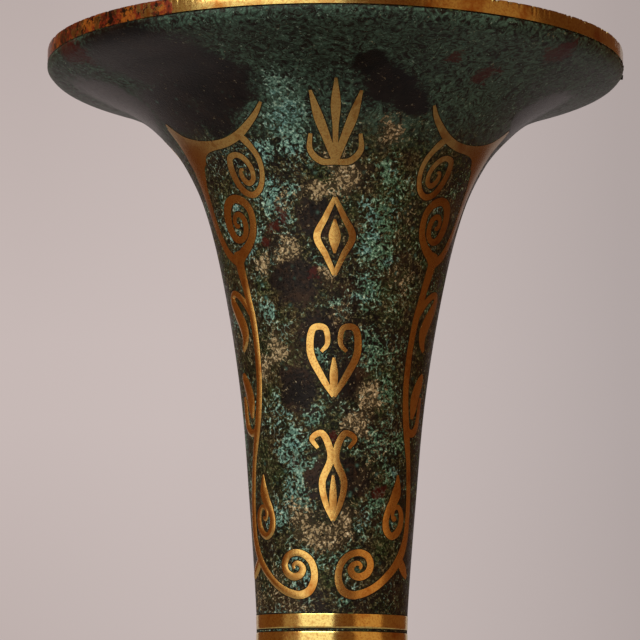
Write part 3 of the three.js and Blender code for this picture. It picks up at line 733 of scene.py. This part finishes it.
def paper_material():
    """Studio paper, matt and pale greyish pink, with painted light on it: lighter on the left,
    a painted glow behind the neck, painted dimming at the top and the bottom, and a painted shade
    on the floor.

    It shows its own colour to the camera and in reflections, so the vase mirrors a plain backdrop.
    Its back side is clear, so a view from behind or from under the floor still shows the vase.
    """
    colours = bpy.context.scene.vase_colours
    material, add, place = start_material("studio_paper")
    split = add("SeparateXYZ", {0: place}, None)
    # Painted light: the paper is lighter on the left, where the lamps stand, and darker to the right
    across = add("MapRange", {0: split[0], 1: -0.1, 2: 0.22})
    base = add("Mix", {0: across, 6: linear(colours.paper_left), 7: linear(colours.paper_right)}, **MIX)
    # Painted falloff of light: the paper dims towards its top and towards the floor
    high = add("MapRange", {0: split[2], 1: 0.36, 2: 0.62, 4: 0.5})
    low = add("MapRange", {0: split[2], 1: 0.3, 2: 0.02, 4: 0.6})
    dim = add("Math", {0: high, 1: low}, operation="ADD")
    base = add("Mix", {0: dim, 6: base, 7: linear(colours.paper_dim)}, **MIX)
    # Painted glow: a pool of light painted on the paper behind the neck
    middle = add("Math", {0: split[0]}, operation="ABSOLUTE")
    middle = add("MapRange", {0: middle, 1: 0.04, 2: 0.2, 3: 0.45, 4: 0.0})
    base = add("Mix", {0: middle, 6: base, 7: linear(colours.paper_glow)}, **MIX)
    # Painted shade: the same paper is painted darker on the floor and low on the bend
    floor = add("MapRange", {0: split[2], 1: 0.14, 2: 0.0})
    base = add("Mix", {0: floor, 6: base, 7: linear(colours.paper_floor)}, **MIX)
    seen = add("Emission", {"Color": base})
    lit = add("BsdfPrincipled", {"Base Color": base, "Roughness": 0.9, "Specular IOR Level": 0.2})
    ray = add("LightPath", None, None)
    plain = add("Math", {0: ray["Is Camera Ray"], 1: ray["Is Glossy Ray"]})
    plain = add("Math", {0: plain, 1: ray["Is Transmission Ray"]}, use_clamp=True)
    shader = add("MixShader", {0: plain, 1: lit, 2: seen})
    face = add("NewGeometry", None, None)
    shader = add("MixShader", {0: face["Backfacing"], 1: shader, 2: add("BsdfTransparent")})
    add("OutputMaterial", {"Surface": shader}, None)
    return material


class VaseColours(bpy.types.PropertyGroup):
    """Colours of the materials, as sRGB hex codes."""

    ground_dark: StringProperty(name="Ground dark", description="Darkest bronze", default="#0a0807")
    ground_light: StringProperty(name="Ground light", description="Lighter bronze", default="#1f1a17")
    moss_dark: StringProperty(name="Dark moss", description="Thin green film", default="#17160e")
    moss: StringProperty(name="Moss", description="Denser green film", default="#4c5e38")
    olive: StringProperty(name="Olive", description="Browner film", default="#5e5034")
    lichen: StringProperty(name="Lichen", description="Palest threads of the film", default="#96906a")
    # Grey green of the film under the lip, partly its own colour and partly painted light for the dim
    # underside of the flare
    veil: StringProperty(name="Veil", description="Grey green film under the lip", default="#5a8070")
    leaf_dark: StringProperty(name="Dark leaf", description="Thin green flecks", default="#36583c")
    leaf: StringProperty(name="Leaf", description="Thick green flecks", default="#7eb48a")
    green: StringProperty(name="Green", description="Thin malachite", default="#4e766a")
    turquoise: StringProperty(name="Turquoise", description="Thick malachite", default="#a2d6c8")
    # Sparks and cream are pale tips of the crust, and also painted glints of light on it
    spark: StringProperty(name="Sparks", description="Palest malachite", default="#ccf0de")
    cream: StringProperty(name="Cream", description="Palest earth", default="#f4eccc")
    cyan: StringProperty(name="Cyan", description="Azure grains", default="#94d4d8")
    umber: StringProperty(name="Umber", description="Brown stains", default="#3d2c1e")
    tan_dark: StringProperty(name="Dark tan", description="Wash of earth", default="#4f4632")
    tan_mid: StringProperty(name="Middle tan", description="Thin earth", default="#8a7c5c")
    tan: StringProperty(name="Tan", description="Thick earth", default="#d8c89e")
    red: StringProperty(name="Red", description="Copper oxide", default="#471713")
    seam: StringProperty(name="Seat line", description="Corrosion beside the gold", default="#0b0908")
    gold: StringProperty(name="Gold", description="Clean gold", default="#e8d683")
    gold_inlay: StringProperty(name="Inlay gold", description="Redder gold of the inlays", default="#e2be6e")
    gold_stain: StringProperty(name="Stained gold", description="Copper-stained gold", default="#b06a24")
    gold_pit: StringProperty(name="Pits", description="Pits in the gold", default="#1c110a")
    gold_rust: StringProperty(name="Rusty gold", description="Red oxide on gold", default="#84301a")
    # Brown that paints shade on the gold's darker sides
    gold_dull: StringProperty(name="Dull gold", description="Tarnished gold", default="#5c3a1c")
    rust_brown: StringProperty(name="Brown rust", description="Brown oxide on gold", default="#4a2410")
    # The paper's colours paint light and shade on one sheet: lit on the left and shaded on the right
    paper_left: StringProperty(name="Paper left", description="Backdrop, left", default="#c7b9b6")
    paper_right: StringProperty(name="Paper right", description="Backdrop, right", default="#b0a5a3")
    # Painted glow of light on the paper's middle
    paper_glow: StringProperty(name="Paper glow", description="Backdrop, middle", default="#cdc0bd")
    # Painted dimming of the paper at its top and bottom
    paper_dim: StringProperty(name="Paper dim", description="Backdrop, top and bottom", default="#aa9d99")
    # Painted shade of the paper on the floor
    paper_floor: StringProperty(name="Paper floor", description="Floor", default="#9e928e")
    room: StringProperty(name="Room", description="Warm room around the paper", default="#845436")


class VaseSizes(bpy.types.PropertyGroup):
    """Sizes that may be changed."""

    seam: FloatProperty(name="Seat line", description="Width of the dark line beside the gold",
                        default=0.00042, unit="LENGTH")
    lip_overlap: FloatProperty(name="Lip overlap", description="How far gold folds over the rim",
                               default=0.0006, unit="LENGTH")


def ride(piece, node=None):
    """Puts a piece on the vase, and in the place of a node if one is named."""
    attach(piece, "root")
    if node:
        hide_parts(node)


def casting_profile():
    """Closed outline of the casting, points of radius and height: foot, outside, lip, inside."""
    outer = [(46.0, 0.6), (46.0, 6.4)]
    outer += [(outer_radius(z), z) for z in steps(6.6, 277.0, 0.9)]
    outer += [(outer_radius(z), z) for z in steps(277.3, HEIGHT - LIP_HEIGHT - 0.2, 0.25)]
    seat = MOUTH_RADIUS - 0.9
    rim = [(seat, HEIGHT - LIP_HEIGHT), (seat, HEIGHT - 0.3), (seat - 0.3, HEIGHT)]
    rim += [(77.2, HEIGHT), (76.6, HEIGHT - 0.3)]
    inside = [off_surface(z, -WALL) for z in steps(HEIGHT - LIP_HEIGHT - 3.8, CUP_FLOOR + 6, 0.8)]
    floor = [(17.6, CUP_FLOOR + 1.6), (16.2, CUP_FLOOR), (0.4, CUP_FLOOR)]
    under = [(0.4, FOOT_CEILING), (15.5, FOOT_CEILING), (17.2, FOOT_CEILING - 1.5)]
    hollow = [off_surface(z, -WALL) for z in steps(FOOT_CEILING - 5, 9, 1.2)]
    foot = [(42.6, 1.6), (43.2, 0.0), (45.4, 0.0)]
    return under + hollow + foot + outer + rim + inside + floor


def place_knots(knots, place, base=0.0, twist=0.0):
    """Knots with their azimuths placed and twisted, and their heights counted from a base."""
    return [(place(a) + twist * (z - TWIST_CENTRE), base + z, w) for a, z, w in knots]


def all_inlays():
    """Every inlaid node with its placed strands."""
    inlays = {}
    for quarter, place in QUARTERS.items():
        for piece, parts in NECK_SCROLLS.items():
            inlays[f"neck_{piece}_{quarter}"] = [
                place_knots(knots, place, NECK_BASE, TWIST) for knots in parts.values()]
        inlays[f"waist_scroll_{quarter}"] = [place_knots(WAIST_SCROLL, place)]
        inlays[f"foot_scroll_{quarter}"] = [place_knots(FOOT_SCROLL, place)]
    for panel, middle in (("front", 0), ("back", 180)):
        for motif, parts in COLUMN_MOTIFS.items():
            strands = []
            for sign in (-1, 1):
                strands += [
                    place_knots(knots, lambda a: middle + sign * a, NECK_BASE)
                    for knots in parts.get("halves", [])]
            if "spine" in parts:
                strands.append(place_knots(parts["spine"], lambda a: middle + a, NECK_BASE))
            inlays[f"column_{motif}_{panel}"] = strands
    return inlays


class VASE_OT_casting(bpy.types.Operator):
    """Builds the bronze casting"""

    bl_idname = "vase.casting"
    bl_label = "Casting"

    def execute(self, context):
        piece = lathe("casting", casting_profile(), RING_SEGMENTS, bronze_material())
        ride(piece, "vessel")
        return {"FINISHED"}


class VASE_OT_bands(bpy.types.Operator):
    """Builds the gold bands and the gold lip"""

    bl_idname = "vase.bands"
    bl_label = "Bands"

    def execute(self, context):
        tint = context.scene.vase_colours.gold
        gold = gold_material("burnished_gold_band", tint, 0.16, 0.5, 0.3)
        seam = seam_material()
        # The lip's gold takes half of the painted side shade
        lip = gold_material("worn_gilded_lip", tint, 0.18, 0.7, 0.5, 0.5, -0.043)
        for node, bottom, height in BANDS:
            top = bottom + height
            profile = [(outer_radius(bottom) - 0.5, bottom)]
            for z in steps(bottom, top, 0.4):
                edge = min(z - bottom, top - z)
                profile.append((outer_radius(z) + 0.02 + 0.12 * min(edge / 0.3, 1), z))
            profile.append((outer_radius(top) - 0.5, top))
            ride(lathe(f"{node}_fine", profile, RING_SEGMENTS, gold, closed=True), node)
            for side, z in (("below", bottom - 0.3), ("above", top)):
                self.dark_line(f"{node}_{side}", z, z + 0.3, seam)
        low, high = HEIGHT - LIP_HEIGHT, HEIGHT
        over = context.scene.vase_sizes.lip_overlap / MM
        profile = [
            (79.0, low), (79.7, low), (79.95, low + 0.25), (80.0, low + 1.2), (80.0, high - 0.6),
            (79.85, high), (79.4, high + 0.12), (79.0 - over, high + 0.1), (79.0 - over, high - 0.2),
            (79.0, high - 0.3),
        ]
        ride(lathe("lip_band_fine", profile, LIP_SEGMENTS, lip, closed=True, wear=worn_lip), "lip_band")
        profile = [(79.0, low - 0.5), (79.9, low - 0.45), (80.02, low), (79.0, low)]
        crust = lathe("lip_band_below", profile, LIP_SEGMENTS, seam, closed=True, wear=rough_crust)
        ride(crust, None)
        return {"FINISHED"}

    def dark_line(self, name, low, high, material):
        """Ring of corrosion beside a band."""
        inner, outer = outer_radius(low), outer_radius(high)
        profile = [(inner - 0.4, low), (inner + 0.02, low), (outer + 0.05, high), (outer - 0.4, high)]
        ride(lathe(name, profile, RING_SEGMENTS, material, closed=True), None)


class VASE_OT_inlays(bpy.types.Operator):
    """Builds the gold strands and the dark lines of their seats"""

    bl_idname = "vase.inlays"
    bl_label = "Inlays"

    def execute(self, context):
        tint = context.scene.vase_colours.gold_inlay
        # The inlays' gold takes most of the painted side shade
        gold = gold_material("beaten_gold_inlay", tint, 0.26, 0.5, 0.5, 0.7)
        seam = seam_material()
        width = context.scene.vase_sizes.seam / MM
        for node, strands in all_inlays().items():
            ride(strands_piece(f"{node}_fine", strands, GOLD_SECTION, 0.0, gold), node)
            ride(strands_piece(f"{node}_seat", strands, SEAM_SECTION, width, seam), None)
        return {"FINISHED"}


def add_lamp(name, place, target, size, power, colour):
    """Rectangular lamp that faces its target."""
    data = bpy.data.lights.new(name, "AREA")
    data.shape = "RECTANGLE"
    data.size, data.size_y = size
    data.energy = power
    data.color = linear(colour)[:3]
    lamp = bpy.data.objects.new(name, data)
    lamp.location = place
    lamp.rotation_euler = (Vector(target) - Vector(place)).to_track_quat("-Z", "Y").to_euler()
    bpy.context.scene.collection.objects.link(lamp)


class VASE_OT_stage(bpy.types.Operator):
    """Builds the floor, the backdrop, the lights and the camera"""

    bl_idname = "vase.stage"
    bl_label = "Stage"

    def execute(self, context):
        self.paper()
        for lamp in LAMPS:
            add_lamp(*lamp)
        self.room(context.scene)
        self.camera(context.scene)
        return {"FINISHED"}

    def paper(self):
        """Floor that bends up to a backdrop, with end points of its own so that it looks flat."""
        profile = [(PAPER_FRONT, 0), (PAPER_BACK, 0)]
        for degrees in range(0, 91, 6):
            a = math.radians(degrees)
            profile.append((PAPER_BACK + PAPER_BEND * math.sin(a), PAPER_BEND * (1 - math.cos(a))))
        profile.append((PAPER_BACK + PAPER_BEND, PAPER_TOP))
        vertices = [(x, y, z) for y, z in profile for x in (-PAPER_HALF_WIDTH, PAPER_HALF_WIDTH)]
        faces = [(2 * i, 2 * i + 1, 2 * i + 3, 2 * i + 2) for i in range(len(profile) - 1)]
        make_object("paper", vertices, faces, paper_material())

    def room(self, scene):
        """Warm dim room around the paper, which the gold mirrors at its sides."""
        world = bpy.data.worlds.new("studio")
        world.use_nodes = True
        background = world.node_tree.nodes["Background"]
        background.inputs["Color"].default_value = linear(scene.vase_colours.room)
        background.inputs["Strength"].default_value = 0.7
        scene.world = world

    def camera(self, scene):
        """Camera at the photograph's viewing angle, looking up a little."""
        data = bpy.data.cameras.new("camera")
        data.lens = CAMERA_LENS
        data.sensor_width = CAMERA_SENSOR
        data.clip_start = 0.05
        camera = bpy.data.objects.new("camera", data)
        pitch, roll = math.radians(CAMERA_PITCH), math.radians(CAMERA_ROLL)
        forward = Vector((0, math.cos(pitch), math.sin(pitch)))
        up = Vector((0, -math.sin(pitch), math.cos(pitch)))
        right = Vector((1, 0, 0))
        side = right * math.cos(roll) + up * math.sin(roll)
        top = up * math.cos(roll) - right * math.sin(roll)
        turn = Matrix((side, top, -forward)).transposed()
        camera.matrix_world = Matrix.Translation(CAMERA_PLACE) @ turn.to_4x4()
        scene.collection.objects.link(camera)
        scene.camera = camera
        scene.view_settings.view_transform = "Standard"


class VASE_PT_panel(bpy.types.Panel):
    """Sidebar panel of the vase"""

    bl_label = "Bronze gu vase"
    bl_space_type = "VIEW_3D"
    bl_region_type = "UI"
    bl_category = "Vase"

    def draw(self, context):
        for group in (context.scene.vase_sizes, context.scene.vase_colours):
            for key in group.__annotations__:
                self.layout.prop(group, key)
        for operator in ("vase.casting", "vase.bands", "vase.inlays", "vase.stage"):
            self.layout.operator(operator)


CLASSES = (
    VaseColours, VaseSizes, VASE_OT_casting, VASE_OT_bands, VASE_OT_inlays, VASE_OT_stage, VASE_PT_panel,
)


def register():
    for cls in CLASSES:
        bpy.utils.register_class(cls)
    bpy.types.Scene.vase_colours = PointerProperty(type=VaseColours)
    bpy.types.Scene.vase_sizes = PointerProperty(type=VaseSizes)


def unregister():
    del bpy.types.Scene.vase_sizes
    del bpy.types.Scene.vase_colours
    for cls in reversed(CLASSES):
        bpy.utils.unregister_class(cls)


def main():
    register()
    bpy.ops.vase.casting()
    bpy.ops.vase.bands()
    bpy.ops.vase.inlays()
    bpy.ops.vase.stage()


if __name__ == "__main__":
    main()
